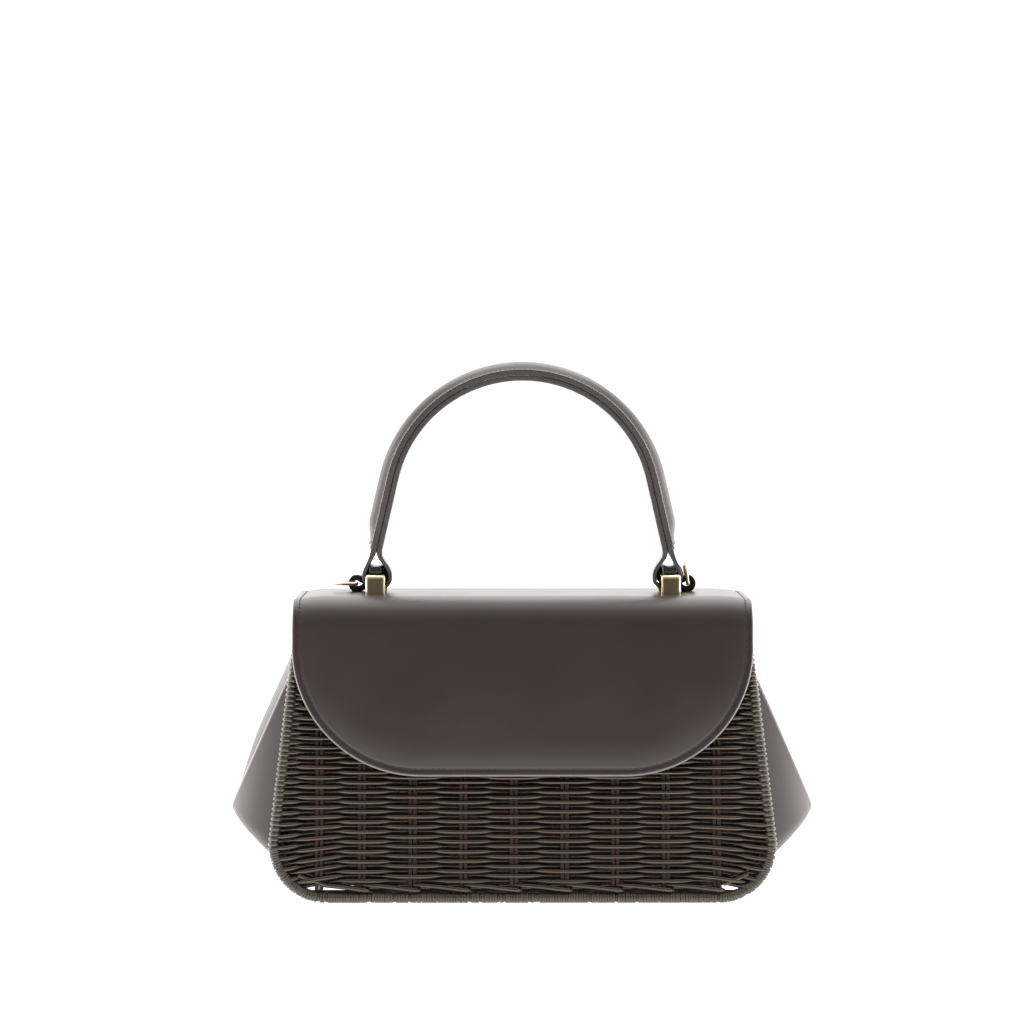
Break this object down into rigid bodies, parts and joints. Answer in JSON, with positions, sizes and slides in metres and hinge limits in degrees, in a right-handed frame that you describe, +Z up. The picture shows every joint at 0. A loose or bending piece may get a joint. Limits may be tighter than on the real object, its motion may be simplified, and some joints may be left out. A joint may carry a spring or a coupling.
{
  "type": "basket box bag",
  "caption": "Small structured handbag with woven cane front and back, smooth leather flap and side gussets, and a padded arch handle on gold staples.",
  "frame": {"origin": "centre of the bag's footprint, on the surface under the bottom rods", "axes": "+X to the viewer's right across the front, -Y out of the front panel, +Z up"},
  "size_m": [0.282, 0.104, 0.2587],
  "materials": {
    "cane": "stained dark brown, semi-gloss",
    "leather": "smooth, satin",
    "edge_leather": "smooth, painted edges",
    "dark_leather": "smooth, satin",
    "lining_cloth": "matt twill",
    "board": "plain fibreboard",
    "filler": "soft foam cord",
    "gold": "polished pale gold",
    "magnet": "plain"
  },
  "bodies": {
    "bag": {"front_frame_rod": "cane", "front_frame_binding": "cane", "front_stakes": "cane", "front_weave": "cane", "back_frame_rod": "cane", "back_frame_binding": "cane", "back_stakes": "cane", "back_weave": "cane", "gusset_left": "leather", "gusset_right": "leather", "base_panel": "leather", "base_board": "board", "lining": "lining_cloth", "back_yoke": "leather", "magnet_patch": "leather", "magnet_front": "magnet"},
    "flap": {"flap_leather": "leather", "flap_board": "board", "flap_lining": "lining_cloth", "magnet_flap": "magnet", "handle_strap": "edge_leather", "handle_core": "filler", "handle_cover": "leather", "staple_left": "gold", "staple_right": "gold", "staple_plate_left": "gold", "staple_plate_right": "gold", "ring_tab_left": "dark_leather", "ring_tab_right": "dark_leather"},
    "ring_left": {"d_ring_left": "gold"},
    "ring_right": {"d_ring_right": "gold"}
  },
  "joints": [
    {"name": "flap_hinge", "type": "hinge", "parent": "bag", "child": "flap", "pos_m": [0, 0.03505, 0.146], "axis": [-1, 0, 0], "range_deg": [0, 110]},
    {"name": "ring_left_pivot", "type": "hinge", "parent": "flap", "child": "ring_left", "pos_m": [-0.0816, 0.00732, 0.15], "axis": [0, 1, 0], "range_deg": [-12, 97]},
    {"name": "ring_right_pivot", "type": "hinge", "parent": "flap", "child": "ring_right", "pos_m": [0.0816, 0.00732, 0.15], "axis": [0, 1, 0], "range_deg": [-1, 109]}
  ]
}
